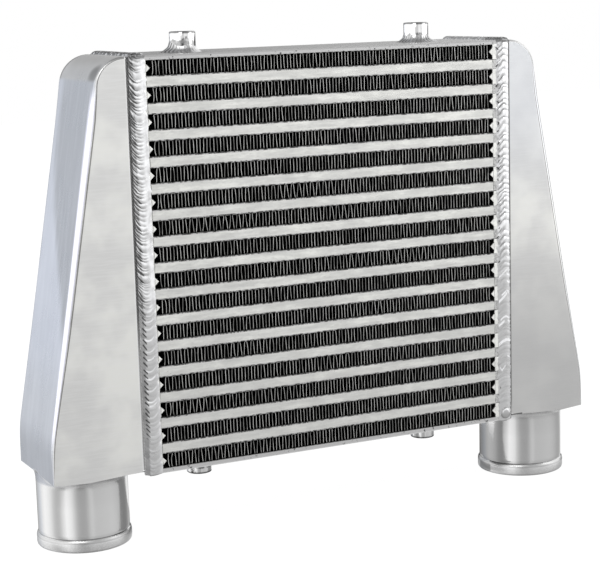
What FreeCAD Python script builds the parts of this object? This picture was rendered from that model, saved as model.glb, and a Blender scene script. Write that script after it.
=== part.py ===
# Air-to-air intercooler: a brazed bar-and-plate core between two cast end tanks.
#
# Frame: +X runs along the width, from the left tank to the right tank. +Y runs through the
# core from its front face to its rear face. +Z is up. The origin is under the middle of the
# core, in the plane of the two hose neck ends, on which the part stands. Millimetres.
import FreeCAD, Part
import math
import os
import Sketcher

doc = FreeCAD.newDocument("intercooler")

# Two points nearer than this are one point.
TOUCH = 0.001

# Driving dimensions and counts: alias, value, meaning. Lengths in millimetres.
DRIVING = [
    ("core_width", 287.0, "core between the rims of the two tanks"),
    ("core_depth", 76.0, "core from its front face to its rear face"),
    ("air_rows", 16, "rows of air fins, one more than the charge rows"),
    ("air_row_height", 10.6, "height of an air row and of its closing bars"),
    ("charge_row_height", 6.0, "height of a charge row and of its closing bars"),
    ("sheet_thickness", 0.6, "parting sheet between an air row and a charge row"),
    ("end_plate_thickness", 3.0, "top and bottom plate of the core"),
    ("short_bar_width", 9.6, "bar that closes an air row, without its nose"),
    ("nose_length", 2.8, "pointed nose of a short bar"),
    ("nose_height", 5.6, "root of the nose"),
    ("long_bar_depth", 8.0, "bar that closes a charge row"),
    ("air_fin_folds", 18, "folds of one air fin strip, of two walls each"),
    ("air_fin_thickness", 0.3, "wall of an air fin strip"),
    ("charge_fin_folds", 3, "folds of one charge fin strip, of two walls each"),
    ("charge_fin_thickness", 0.4, "wall of a charge fin strip"),
    ("charge_fin_setback", 2.0, "end of a charge fin inside the end of the core"),
    ("fin_gap", 0.3, "running gap between a fin strip and the bars beside it"),
    ("tank_top_depth", 23.2, "tank from its rim to where its leaning side would meet the top"),
    ("tank_knee_height", 27.8, "height where the upright foot would meet the leaning side"),
    ("tank_bend_radius", 100.0, "bend between the foot and the leaning side"),
    ("tank_crown_radius", 22.0, "top outer corner of the tank"),
    ("tank_wall", 3.0, "cast wall of the tank"),
    ("tank_edge_radius", 2.8, "rounding between the outer side and the flat faces"),
    ("rim_bevel_width", 4.5, "weld bevel, measured along the tank"),
    ("rim_bevel_depth", 2.0, "weld bevel, measured into the wall"),
    ("neck_outer_diameter", 63.5, "hose neck"),
    ("neck_wall", 3.0, "wall of the hose neck"),
    ("neck_length", 50.0, "hose neck below the tank"),
    ("neck_inset", 0.15, "neck inside the weld bevel and inside the outer side of the tank"),
    ("neck_root_flare", 5.0, "sloped root between the neck and the tank floor"),
    ("bead_rise", 1.5, "hose bead, proud of the neck"),
    ("bead_shoulder_height", 3.0, "slope from the neck out to the bead"),
    ("bead_land_height", 6.0, "cylindrical land of the bead, down to the neck end"),
    ("weld_core_reach", 5.5, "seam weld from the rim onto the core"),
    ("weld_rise", 1.6, "crown of the seam weld"),
    ("left_open_bevel", 2.3, "bevel that the left seam weld leaves open"),
    ("right_open_bevel", 0.6, "bevel that the right seam weld leaves open"),
    ("boss_diameter", 18.0, "round mounting boss"),
    ("boss_height", 14.0, "mounting boss over its end plate"),
    ("boss_spacing", 184.0, "distance between the two bosses of one plate"),
    ("boss_chamfer", 0.8, "outer edge of a boss"),
    ("boss_hole_diameter", 6.8, "hole for a tapped M8 thread"),
    ("boss_hole_depth", 11.0, "blind hole of a boss"),
    ("boss_weld_leg", 3.5, "fillet weld round the foot of a boss"),
]

# Dimensions that follow from the driving ones.
DERIVED = [
    ("rim_place", "=Sizes.core_width / 2"),
    ("row_pitch", "=Sizes.air_row_height + Sizes.charge_row_height + 2 * Sizes.sheet_thickness"),
    ("charge_rows", "=Sizes.air_rows - 1"),
    ("stack_height", "=Sizes.air_rows * Sizes.air_row_height + 2 * Sizes.end_plate_thickness"
                     " + charge_rows * (Sizes.charge_row_height + 2 * Sizes.sheet_thickness)"),
    ("core_bottom", "=Sizes.neck_length"),
    ("core_top", "=core_bottom + stack_height"),
    ("first_air_row", "=core_bottom + Sizes.end_plate_thickness"),
    ("first_charge_row", "=first_air_row + Sizes.air_row_height + Sizes.sheet_thickness"),
    ("air_fin_width", "=Sizes.core_width - 2 * (Sizes.short_bar_width + Sizes.nose_length + Sizes.fin_gap)"),
    ("air_fin_step", "=air_fin_width / (2 * Sizes.air_fin_folds)"),
    ("air_fin_slant", "=Sizes.air_fin_thickness * sqrt(air_fin_step ^ 2 + Sizes.air_row_height ^ 2)"
                      " / air_fin_step"),
    ("charge_fin_width", "=Sizes.core_depth - 2 * (Sizes.long_bar_depth + Sizes.fin_gap)"),
    ("charge_fin_step", "=charge_fin_width / (2 * Sizes.charge_fin_folds)"),
    ("charge_fin_slant", "=Sizes.charge_fin_thickness"
                         " * sqrt(charge_fin_step ^ 2 + Sizes.charge_row_height ^ 2) / charge_fin_step"),
    ("tank_base_depth", "=Sizes.rim_bevel_width + Sizes.neck_outer_diameter + 2 * Sizes.neck_inset"),
    ("lean_slope", "=(tank_base_depth - Sizes.tank_top_depth) / (stack_height - Sizes.tank_knee_height)"),
    ("lean_cosine", "=1 / sqrt(1 + lean_slope ^ 2)"),
    ("lean_sine", "=lean_slope * lean_cosine"),
    ("tank_bend_height", "=Sizes.tank_knee_height"
                         " - Sizes.tank_bend_radius * lean_sine / (1 + lean_cosine)"),
    ("bend_centre_x", "=tank_base_depth - Sizes.tank_bend_radius"),
    ("crown_centre_z", "=stack_height - Sizes.tank_crown_radius"),
    ("crown_centre_x", "=Sizes.tank_top_depth"
                       " - Sizes.tank_crown_radius * (1 - lean_sine) / lean_cosine"),
    ("neck_radius", "=Sizes.neck_outer_diameter / 2"),
    ("neck_bore_radius", "=neck_radius - Sizes.neck_wall"),
    ("bead_radius", "=neck_radius + Sizes.bead_rise"),
    ("neck_axis_x", "=tank_base_depth - Sizes.neck_inset - neck_radius"),
    ("boss_radius", "=Sizes.boss_diameter / 2"),
]


def fill_sheet(name, rows):
    # One row per size: a label, the value or formula under its alias, and a remark.
    sheet = doc.addObject("Spreadsheet::Sheet", name)
    for line, row in enumerate(rows, start=1):
        sheet.set(f"A{line}", row[0].replace("_", " "))
        sheet.set(f"B{line}", str(row[1]))
        sheet.setAlias(f"B{line}", row[0])
        if len(row) > 2:
            sheet.set(f"C{line}", row[2])
    doc.recompute()
    return sheet


sizes = fill_sheet("Sizes", DRIVING)
derived = fill_sheet("Derived", DERIVED)
LENGTH_WORDS = [(alias, "Sizes") for alias, *_ in DRIVING] + [(alias, "Derived") for alias, _ in DERIVED]


def bound(expression):
    # Puts the sheet's name before each size in an expression.
    words = dict(LENGTH_WORDS)
    parts = expression.replace("(", "( ").replace(")", " )").split()
    return " ".join(f"{words[part]}.{part}" if part in words else part for part in parts)


def value(expression):
    result = sizes.evalExpression(bound(expression))
    return float(getattr(result, "Value", result))


def bind(feature, **properties):
    # Ties properties of a feature to expressions over the sizes.
    for name, expression in properties.items():
        feature.setExpression(name.replace("__", "."), bound(expression))


def new_body(label):
    body = doc.addObject("PartDesign::Body", label)
    body.Label = label
    return body


def origin_feature(body, role):
    return next(item for item in body.Origin.OriginFeatures if item.Role == role)


def new_sketch(body, name, plane):
    sketch = body.newObject("Sketcher::SketchObject", name)
    sketch.AttachmentSupport = [(origin_feature(body, plane), "")]
    sketch.MapMode = "FlatFace"
    return sketch


def arc_between(start, end, radius, turn):
    # Arc from start to end, shorter than half a circle; turn is +1 to the left, -1 to the right.
    chord = end - start
    rise = math.sqrt(radius ** 2 - (chord.Length / 2) ** 2)
    side = FreeCAD.Vector(-chord.y, chord.x, 0).normalize() * turn
    centre = (start + end) * 0.5 + side * rise
    first = math.atan2(start.y - centre.y, start.x - centre.x)
    last = math.atan2(end.y - centre.y, end.x - centre.x)
    circle = Part.Circle(centre, FreeCAD.Vector(0, 0, 1), radius)
    if turn > 0:
        return Part.ArcOfCircle(circle, first, last)
    return Part.ArcOfCircle(circle, last, first)


def draw_outline(sketch, corners, arcs=None):
    # Closed outline. Each corner is a pair of expressions; arcs maps the number of an edge to
    # its radius and its turn. The other edges are straight.
    arcs = arcs or {}
    points = [FreeCAD.Vector(value(x), value(y), 0) for x, y in corners]
    count = len(points)
    first = sketch.GeometryCount
    ends = []
    for number in range(count):
        start, end = points[number], points[(number + 1) % count]
        if number in arcs:
            radius, turn = arcs[number]
            sketch.addGeometry(arc_between(start, end, value(radius), turn), False)
            ends.append((1, 2) if turn > 0 else (2, 1))
        else:
            sketch.addGeometry(Part.LineSegment(start, end), False)
            ends.append((1, 2))
    for number in range(count):
        following = (number + 1) % count
        sketch.addConstraint(Sketcher.Constraint(
            "Coincident", first + number, ends[number][1], first + following, ends[following][0]))
    for number, (x, y) in enumerate(corners):
        place_point(sketch, first + number, ends[number][0], x, y, points[number])
    for number, (radius, turn) in arcs.items():
        index = sketch.addConstraint(Sketcher.Constraint("Radius", first + number, value(radius)))
        sketch.setExpression(f"Constraints[{index}]", bound(radius))


def place_point(sketch, geometry, end, x, y, point):
    # Holds a point at its two distances from the sketch's origin.
    for kind, expression, distance in (("DistanceX", x, point.x), ("DistanceY", y, point.y)):
        if expression == "0":
            axis = -2 if kind == "DistanceX" else -1
            sketch.addConstraint(Sketcher.Constraint("PointOnObject", geometry, end, axis))
            continue
        index = sketch.addConstraint(Sketcher.Constraint(kind, -1, 1, geometry, end, distance))
        sketch.setExpression(f"Constraints[{index}]", bound(expression))


def rectangle(left, bottom, right, top):
    return [(left, bottom), (right, bottom), (right, top), (left, top)]


def pad_across(body, sketch, length):
    # Pad of the same length to both sides of the sketch.
    pad = body.newObject("PartDesign::Pad", "Pad")
    pad.Profile = sketch
    pad.SideType = "Symmetric"
    bind(pad, Length=length)
    return pad


def repeat_upwards(body, feature, spacing, count):
    pattern = body.newObject("PartDesign::LinearPattern", "Rows")
    pattern.Originals = [feature]
    pattern.Direction = (origin_feature(body, "Z_Axis"), [""])
    pattern.Mode = "Spacing"
    bind(pattern, Offset=spacing, Occurrences=count)
    body.Tip = pattern
    return pattern


def copy_of(master, label):
    # A further piece of the same form as a finished one.
    body = new_body(label)
    base = doc.addObject("PartDesign::FeatureBase", "Copy")
    base.BaseFeature = master
    body.Group = [base]
    body.Tip = base
    return body


def place(body, x="0", y="0", z="0", turn=0.0, axis=(0, 0, 1)):
    # Stands a piece at its place, turned by an angle in degrees about an axis.
    body.Placement = FreeCAD.Placement(
        FreeCAD.Vector(value(x), value(y), value(z)), FreeCAD.Rotation(FreeCAD.Vector(*axis), turn))
    bind(body, Placement__Base__x=x, Placement__Base__y=y, Placement__Base__z=z)
    return body


def revolve(body, sketch):
    feature = body.newObject("PartDesign::Revolution", "Revolution")
    feature.Profile = sketch
    feature.ReferenceAxis = (sketch, ["V_Axis"])
    return feature


# End plates, which close the stack at the top and the bottom.
def end_plate(label, height):
    plate = doc.addObject("Part::Box", label)
    plate.Label = label
    bind(plate, Length="core_width", Width="core_depth", Height="end_plate_thickness")
    return place(plate, "-1 * rim_place", "-1 * core_depth / 2", height)


# Parting sheets, one under and one over each charge row.
def parting_sheets():
    body = new_body("parting_sheets")
    sketch = new_sketch(body, "SheetPair", "XZ_Plane")
    draw_outline(sketch, rectangle("-1 * rim_place", "-1 * sheet_thickness", "rim_place", "0"))
    draw_outline(sketch, rectangle("-1 * rim_place", "charge_row_height",
                                   "rim_place", "charge_row_height + sheet_thickness"))
    pad = pad_across(body, sketch, "core_depth")
    repeat_upwards(body, pad, "row_pitch", "charge_rows")
    return place(body, z="first_charge_row")


# Long bars, which close the charge rows at the front and the rear of the core.
def long_bars():
    body = new_body("rear_long_bars")
    sketch = new_sketch(body, "BarSection", "YZ_Plane")
    draw_outline(sketch, rectangle("core_depth / 2 - long_bar_depth", "0",
                                   "core_depth / 2", "charge_row_height"))
    pad = pad_across(body, sketch, "core_width")
    repeat_upwards(body, pad, "row_pitch", "charge_rows")
    return place(body, z="first_charge_row")


# Short bars, which close the air rows at the tanks and point a nose at the fins.
def nose_bars():
    body = new_body("right_nose_bars")
    sketch = new_sketch(body, "NoseSection", "XZ_Plane")
    inner = "rim_place - short_bar_width"
    middle = "air_row_height / 2"
    draw_outline(sketch, [
        (inner, "0"),
        ("rim_place", "0"),
        ("rim_place", "air_row_height"),
        (inner, "air_row_height"),
        (inner, middle + " + nose_height / 2"),
        (inner + " - nose_length", middle),
        (inner, middle + " - nose_height / 2"),
    ])
    pad = pad_across(body, sketch, "core_depth")
    repeat_upwards(body, pad, "row_pitch", "air_rows")
    return place(body, z="first_air_row")


# Fin strips: one wave of two walls, repeated along the row.
def wave_outline(step, height, slant):
    return [
        ("0", "0"),
        (step, height + " - " + slant),
        ("2 * " + step, "0"),
        ("2 * " + step, slant),
        (step, height),
        ("0", slant),
    ]


def fin_strip(label, plane, along, kind, row, depth):
    body = new_body(label)
    sketch = new_sketch(body, "Wave", plane)
    step = kind + "_step"
    draw_outline(sketch, wave_outline(step, row + "_row_height", kind + "_slant"))
    pad = pad_across(body, sketch, depth)
    pattern = body.newObject("PartDesign::LinearPattern", "Waves")
    pattern.Originals = [pad]
    pattern.Direction = (origin_feature(body, along), [""])
    pattern.Mode = "Spacing"
    bind(pattern, Offset="2 * " + step, Occurrences=kind + "_folds")
    body.Tip = pattern
    return body


def fill_rows(strip, name, count, x, y, first_row):
    # Stands a strip in the lowest row and its copies in the rows over it.
    place(strip, x, y, first_row)
    strips = [strip]
    for row in range(1, count):
        further = copy_of(strip, f"{name}_{row + 1:02d}")
        strips.append(place(further, x, y, f"{first_row} + {row} * row_pitch"))
    return strips


# End tank with its hose neck, cast in one piece: rim at x = 0, floor at z = 0.
def tank_outline(inset):
    # Section of the tank, or of its cavity when the wall is given as the inset.
    floor, top = inset, "stack_height - " + inset
    side = "tank_base_depth - " + inset
    bend, crown = "tank_bend_radius - " + inset, "tank_crown_radius - " + inset
    corners = [
        ("0", floor),
        (side, floor),
        (side, "tank_bend_height"),
        (f"bend_centre_x + ( {bend} ) * lean_cosine", f"tank_bend_height + ( {bend} ) * lean_sine"),
        (f"crown_centre_x + ( {crown} ) * lean_cosine", f"crown_centre_z + ( {crown} ) * lean_sine"),
        ("crown_centre_x", top),
        ("0", top),
    ]
    return corners, {2: (bend, 1), 4: (crown, 1)}


def outer_side_edges(shape):
    # The two edges between a flat face and the upright foot of the outer side. Their rounding
    # runs on along the bend, the leaning side and the crown, which follow on smoothly.
    foot, middle = value("tank_base_depth"), value("tank_bend_height / 2")
    names = []
    for number, edge in enumerate(shape.Edges, start=1):
        centre = edge.CenterOfMass
        if math.hypot(centre.x - foot, centre.z - middle) < TOUCH and abs(centre.y) > TOUCH:
            names.append(f"Edge{number}")
    return names


def pocket_across(body, sketch, length):
    pocket = body.newObject("PartDesign::Pocket", "Pocket")
    pocket.Profile = sketch
    pocket.SideType = "Symmetric"
    bind(pocket, Length=length)
    return pocket


def weld_bevels(body):
    # Bevels round the rim that take the seam weld.
    upright = new_sketch(body, "TopAndFloorBevel", "XZ_Plane")
    draw_outline(upright, [("0", "0"), ("rim_bevel_width", "0"), ("0", "rim_bevel_depth")])
    draw_outline(upright, [("0", "stack_height"), ("0", "stack_height - rim_bevel_depth"),
                           ("rim_bevel_width", "stack_height")])
    pocket_across(body, upright, "2 * core_depth")
    level = new_sketch(body, "FrontAndRearBevel", "XY_Plane")
    for side in ("-1", "1"):
        face = side + " * core_depth / 2"
        draw_outline(level, [("0", face), ("rim_bevel_width", face),
                             ("0", face + " - " + side + " * rim_bevel_depth")])
    pocket_across(body, level, "4 * stack_height")


def neck_sketch(body, name):
    # Upright sketch whose own vertical axis is the axis of the neck.
    sketch = new_sketch(body, name, "XZ_Plane")
    bind(sketch, AttachmentOffset__Base__x="neck_axis_x")
    return sketch


def neck_root(body):
    # Slope from the floor down to the neck, trimmed to the footprint of the tank.
    sketch = neck_sketch(body, "RootSection")
    draw_outline(sketch, [("0", "0"), ("0", "-1 * neck_root_flare"),
                          ("neck_radius", "-1 * neck_root_flare"), ("neck_radius + neck_root_flare", "0")])
    revolve(body, sketch)
    trim = new_sketch(body, "Footprint", "XY_Plane")
    draw_outline(trim, rectangle("-1 * tank_base_depth", "-1 * core_depth",
                                 "2 * tank_base_depth", "core_depth"))
    draw_outline(trim, rectangle("rim_bevel_width", "-1 * core_depth / 2",
                                 "tank_base_depth", "core_depth / 2"))
    pocket = body.newObject("PartDesign::Pocket", "RootTrim")
    pocket.Profile = trim
    bind(pocket, Length="neck_root_flare")


def neck_tube(body):
    # Neck with the bead that holds the hose.
    sketch = neck_sketch(body, "NeckSection")
    land = "bead_land_height - neck_length"
    draw_outline(sketch, [
        ("0", "tank_wall"),
        ("0", "-1 * neck_length"),
        ("bead_radius", "-1 * neck_length"),
        ("bead_radius", land),
        ("neck_radius", land + " + bead_shoulder_height"),
        ("neck_radius", "tank_wall"),
    ])
    revolve(body, sketch)


def neck_bore(body):
    # Bore from the cavity down through the floor and the neck.
    sketch = new_sketch(body, "Bore", "XY_Plane")
    bind(sketch, AttachmentOffset__Base__x="neck_axis_x", AttachmentOffset__Base__z="tank_wall")
    circle = Part.Circle(FreeCAD.Vector(0, 0, 0), FreeCAD.Vector(0, 0, 1), value("neck_bore_radius"))
    sketch.addGeometry(circle, False)
    sketch.addConstraint(Sketcher.Constraint("Coincident", 0, 3, -1, 1))
    index = sketch.addConstraint(Sketcher.Constraint("Radius", 0, value("neck_bore_radius")))
    sketch.setExpression(f"Constraints[{index}]", bound("neck_bore_radius"))
    pocket = body.newObject("PartDesign::Pocket", "BorePocket")
    pocket.Profile = sketch
    bind(pocket, Length="neck_length + tank_wall")


def end_tank():
    body = new_body("right_tank")
    sketch = new_sketch(body, "Outside", "XZ_Plane")
    corners, arcs = tank_outline("0")
    draw_outline(sketch, corners, arcs)
    block = pad_across(body, sketch, "core_depth")
    doc.recompute()
    rounding = body.newObject("PartDesign::Fillet", "OuterEdges")
    rounding.Base = (block, outer_side_edges(block.Shape))
    bind(rounding, Radius="tank_edge_radius")
    weld_bevels(body)
    neck_root(body)
    neck_tube(body)
    cavity = new_sketch(body, "Cavity", "XZ_Plane")
    corners, arcs = tank_outline("tank_wall")
    draw_outline(cavity, corners, arcs)
    pocket_across(body, cavity, "core_depth - 2 * tank_wall")
    neck_bore(body)
    return place(body, "rim_place", z="core_bottom")


# Seam weld: one bead all round the joint of a tank and the core, in the bevel of the rim.
def seam_weld(label, open_bevel, turn):
    body = new_body(label)
    tank_reach = f"( rim_bevel_width - {open_bevel} )"
    path = new_sketch(body, "Path", "YZ_Plane")
    half = "core_depth / 2"
    draw_outline(path, [("0", "stack_height"), ("-1 * " + half, "stack_height"), ("-1 * " + half, "0"),
                        (half, "0"), (half, "stack_height")])
    section = new_sketch(body, "Section", "XZ_Plane")
    span = f"( weld_core_reach + {tank_reach} )"
    toe_drop = f"rim_bevel_depth * ( 1 - {tank_reach} / rim_bevel_width )"
    chord = f"sqrt( {span} ^ 2 + ( {toe_drop} ) ^ 2 )"
    crown = f"( weld_rise + ( {toe_drop} ) / 2 )"
    radius = f"( ( {chord} / 2 ) ^ 2 + {crown} ^ 2 ) / ( 2 * {crown} )"
    draw_outline(section, [
        ("-1 * weld_core_reach", "stack_height"),
        ("0", "stack_height"),
        ("0", "stack_height - rim_bevel_depth"),
        (tank_reach, f"stack_height - {toe_drop}"),
    ], {3: (radius, 1)})
    bead = body.newObject("PartDesign::AdditivePipe", "Bead")
    bead.Profile = section
    bead.Spine = (path, [f"Edge{number}" for number in range(1, path.GeometryCount + 1)])
    bead.Transition = "Right corner"
    place_x = "rim_place" if turn == 0 else "-1 * rim_place"
    return place(body, place_x, z="core_bottom", turn=turn)


# Mounting boss with its blind hole, foot at z = 0.
def mounting_boss():
    body = new_body("boss")
    sketch = new_sketch(body, "BossSection", "XZ_Plane")
    draw_outline(sketch, [
        ("boss_hole_diameter / 2", "boss_height - boss_hole_depth"),
        ("0", "boss_height - boss_hole_depth"),
        ("0", "0"),
        ("boss_radius", "0"),
        ("boss_radius", "boss_height - boss_chamfer"),
        ("boss_radius - boss_chamfer", "boss_height"),
        ("boss_hole_diameter / 2", "boss_height"),
    ])
    revolve(body, sketch)
    return body


# Fillet weld round the foot of a boss.
def boss_weld():
    body = new_body("boss_weld")
    sketch = new_sketch(body, "FilletSection", "XZ_Plane")
    draw_outline(sketch, [("boss_radius", "0"), ("boss_radius + boss_weld_leg", "0"),
                          ("boss_radius", "boss_weld_leg")])
    revolve(body, sketch)
    return body


def four_places(master, label):
    # One piece at each end of the top plate and, upside down, of the bottom plate.
    members = []
    for side in ("-1", "1"):
        x = side + " * boss_spacing / 2"
        upright = copy_of(master, label + "_on_top")
        members.append(place(upright, x, z="core_top"))
        hanging = copy_of(master, label + "_below")
        members.append(place(hanging, x, z="core_bottom", turn=180.0, axis=(1, 0, 0)))
    group = doc.addObject("Part::Compound", label)
    group.Label = label
    group.Links = members
    return group


def turned_copy(master, label, x, z):
    # The same piece at the opposite side of the core.
    return place(copy_of(master, label), x, z=z, turn=180.0)


air_rows = int(value("air_rows"))
charge_rows = int(value("charge_rows"))

pieces = [end_plate("bottom_end_plate", "core_bottom"),
          end_plate("top_end_plate", "core_top - end_plate_thickness"),
          parting_sheets()]

rear_bars = long_bars()
right_bars = nose_bars()
pieces += [rear_bars, turned_copy(rear_bars, "front_long_bars", "0", "first_charge_row")]
pieces += [right_bars, turned_copy(right_bars, "left_nose_bars", "0", "first_air_row")]

air_fin = fin_strip("air_fin_01", "XZ_Plane", "X_Axis", "air_fin", "air", "core_depth")
pieces += fill_rows(air_fin, "air_fin", air_rows, "-1 * air_fin_width / 2", "0", "first_air_row")

charge_fin = fin_strip("charge_fin_01", "YZ_Plane", "Y_Axis", "charge_fin", "charge",
                       "core_width - 2 * charge_fin_setback")
pieces += fill_rows(charge_fin, "charge_fin", charge_rows, "0", "-1 * charge_fin_width / 2",
                    "first_charge_row")

right_tank = end_tank()
pieces += [right_tank, turned_copy(right_tank, "left_tank", "-1 * rim_place", "core_bottom")]
pieces += [seam_weld("right_seam_weld", "right_open_bevel", 0.0),
           seam_weld("left_seam_weld", "left_open_bevel", 180.0)]
pieces += [four_places(mounting_boss(), "mounting_bosses"),
           four_places(boss_weld(), "boss_welds")]

doc.recompute()

for item in doc.Objects:
    if "Invalid" in item.State or "Error" in item.State:
        raise RuntimeError(f"{item.Label} was not computed: {item.State}")
for piece in pieces:
    if piece.Shape.isNull() or not piece.Shape.isValid() or not piece.Shape.Solids:
        raise RuntimeError(f"{piece.Label} has no valid solid")

os.makedirs("parts", exist_ok=True)
for piece in pieces:
    piece.Shape.exportStep(os.path.join("parts", piece.Label + ".step"))
    print(f"{piece.Label}: {len(piece.Shape.Solids)} solids, {piece.Shape.Volume / 1000:.2f} cm3")
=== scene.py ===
# Visual model of an intercooler: bare aluminium core, two cast end tanks, seam welds and bosses.
import random
from bisect import bisect
from math import atan, atan2, cos, exp, hypot, pi, radians, sin, sqrt

import bmesh
import bpy
from mathutils import Matrix, Vector, noise


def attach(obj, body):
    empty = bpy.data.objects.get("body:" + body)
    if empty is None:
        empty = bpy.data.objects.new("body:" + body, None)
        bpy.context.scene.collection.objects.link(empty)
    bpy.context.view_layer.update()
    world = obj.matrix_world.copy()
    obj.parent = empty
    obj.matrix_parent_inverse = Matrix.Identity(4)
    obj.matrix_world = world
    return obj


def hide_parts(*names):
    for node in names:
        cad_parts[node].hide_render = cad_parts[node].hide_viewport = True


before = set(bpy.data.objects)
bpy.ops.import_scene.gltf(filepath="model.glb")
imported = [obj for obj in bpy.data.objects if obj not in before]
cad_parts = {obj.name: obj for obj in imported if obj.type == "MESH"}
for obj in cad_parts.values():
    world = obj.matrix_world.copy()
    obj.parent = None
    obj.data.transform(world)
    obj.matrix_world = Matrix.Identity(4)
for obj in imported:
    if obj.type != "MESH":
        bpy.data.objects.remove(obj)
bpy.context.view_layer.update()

MM = 0.001

# Sizes of the model in millimetres, as in the solids.
RIM_X = 143.5
HALF_DEPTH = 38.0
CORE_BOTTOM, CORE_TOP = 50.0, 333.6
STACK = CORE_TOP - CORE_BOTTOM
MIDDLE = (CORE_TOP + CORE_BOTTOM) / 2
AIR_ROWS = 16
AIR_ROW_HEIGHT = 10.6
ROW_PITCH = 17.8
FIRST_AIR_ROW = 53.0
FIN_REACH = 130.8
WALL = 3.0
BEVEL_WIDTH, BEVEL_DEPTH = 4.5, 2.0
BASE_DEPTH, TOP_DEPTH = 68.3, 23.2
KNEE_HEIGHT = 27.8
BEND_RADIUS, CROWN_RADIUS = 100.0, 22.0
NECK_RADIUS, BORE_RADIUS, BEAD_RADIUS = 31.75, 28.75, 32.95
NECK_AXIS = 36.4
NECK_LENGTH = 50.0
FLOOR_LIFT = 2.8
ROOT_FLARE = 5.0
BOSS_X = 92.0
BOSS_RADIUS, BOSS_HEIGHT, BOSS_LEG = 9.0, 14.0, 3.5
BOSS_HOLE_RADIUS, BOSS_HOLE_DEPTH = 3.4, 11.0
BOSSES = [(x, z, flip) for x in (-BOSS_X, BOSS_X) for z, flip in ((CORE_TOP, 1), (CORE_BOTTOM, -1))]


# ---- Materials ----

class Nodes:
    """Short way to write the node tree of a material or the world."""

    def __init__(self, owner):
        owner.use_nodes = True
        self.owner = owner
        self.tree = owner.node_tree
        self.tree.nodes.clear()

    def add(self, kind, inputs=None, **settings):
        node = self.tree.nodes.new("ShaderNode" + kind)
        for name, setting in settings.items():
            setattr(node, name, setting)
        for key, source in (inputs or {}).items():
            socket = node.inputs[key]
            if isinstance(source, bpy.types.NodeSocket):
                self.tree.links.new(source, socket)
            else:
                socket.default_value = source
        return node

    def math(self, operation, first, second=0.0, third=0.0, clamp=False):
        node = self.add("Math", {0: first, 1: second, 2: third},
                        operation=operation, use_clamp=clamp)
        return node.outputs[0]

    def times(self, product, *factors):
        for factor in factors:
            product = self.math("MULTIPLY", product, factor)
        return product

    def size(self, source):
        return self.math("ABSOLUTE", source)

    def step(self, source, low, high, to_low=0.0, to_high=1.0):
        """Smooth step from low to high, which may also run downwards."""
        node = self.add("MapRange", {"Value": source, "From Min": low, "From Max": high,
                                     "To Min": to_low, "To Max": to_high},
                        interpolation_type="SMOOTHSTEP")
        return node.outputs["Result"]

    def mix(self, factor, first, second, blend="MIX"):
        node = self.add("Mix", {0: factor, 6: first, 7: second}, data_type="RGBA", blend_type=blend)
        return node.outputs[2]

    def over(self, below, *layers):
        """Lays colours over one another; each comes with the masks that hold it."""
        for above, *masks in layers:
            below = self.mix(self.times(*masks), below, above)
        return below

    def noise(self, point, scale, detail=3.0, roughness=0.5, stretch=None):
        if stretch:
            point = self.add("Mapping", {"Vector": point, "Scale": stretch}).outputs[0]
        return self.add("TexNoise", {"Vector": point, "Scale": scale, "Detail": detail,
                                     "Roughness": roughness}).outputs["Fac"]

    def ramp(self, factor, stops):
        node = self.add("ValToRGB", {"Fac": factor})
        elements = node.color_ramp.elements
        while len(elements) < len(stops):
            elements.new(1.0)
        for element, (place, colour) in zip(elements, stops):
            element.position = place
            element.color = colour
        return node.outputs["Color"]

    def axes(self, vector):
        split = self.add("SeparateXYZ", {"Vector": vector})
        return split.outputs[0], split.outputs[1], split.outputs[2]


def grey(level):
    return (level, level, level, 1.0)


def tint(level, warm=0.0):
    """Grey metal; warm takes out blue and a little red."""
    return (level * (1 - 0.2 * warm), level, level * (1 - 2.6 * warm), 1.0)


def new_material(name):
    nodes = Nodes(bpy.data.materials.new(name))
    return nodes, nodes.add("TexCoord").outputs["Object"]


def finish(nodes, colour, roughness, height, bump, grain, metallic=1.0):
    normal = nodes.add("Bump", {"Height": height, "Strength": bump, "Distance": grain})
    shader = nodes.add("BsdfPrincipled", {"Base Color": colour, "Roughness": roughness,
                                          "Metallic": metallic, "Normal": normal.outputs[0]})
    nodes.add("OutputMaterial", {"Surface": shader.outputs[0]})
    return nodes.owner


# Zones of the tanks' colour, painted shade, painted highlights and painted reflection: where each
# sets in and where it is full, in metres.
NECK_ZONE = (0.0475, 0.0455)
FACE_SHADE_ZONE, FACE_REFLECTION_ZONE = (0.215, 0.105), (0.20, 0.29)
FLANK_FOOT, FLANK_HEAD = (0.150, 0.095), (0.20, 0.30)
BAND_BORDER, BAND_FROM_TO = (0.115, 0.275, -0.040, 0.026), (-0.004, 0.010)
LINE_FOOT = (0.056, 0.066)
GLARE_FOOT, GLARE_HEAD = (0.075, 0.095), (0.317, 0.300)
GLARE_EDGE, GLARE_SHIFT = (-0.0335, -0.0365), (0.15, 0.29, 0.0, 0.0035)
CROWN_REAR_SHADE, CROWN_FOOT = (0.0325, 0.0360), (0.311, 0.321)
ROOT_LIGHT_ZONE = (0.0540, 0.0530)
LIP_ZONE, SHOULDER_TOP, SHOULDER_FOOT = (0.0091, 0.0086), (0.0090, 0.0086), (0.0062, 0.0068)
VALLEY_SPLIT = (0.12, 0.17)
SLOT_SHADOW_TOP, SLOT_SHADOW_FOOT = (0.0537, 0.0532), (0.0500, 0.0505)
# Thin lines on them, of painted shade and painted highlight: place and half of the width.
CREASE_SHADE = (0.0092, 0.00035)
RIM_HIGHLIGHT, RIM_EDGE = (0.1483, 0.0003), (0.1480, 0.1477)
SLOT_SHADOW_X = (0.1525, 0.0050)
CROWN_SPOT_PLACE, CROWN_SPOT_EDGE = (-0.1712, -0.030, 0.3248), (0.0150, 0.0085)

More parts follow.
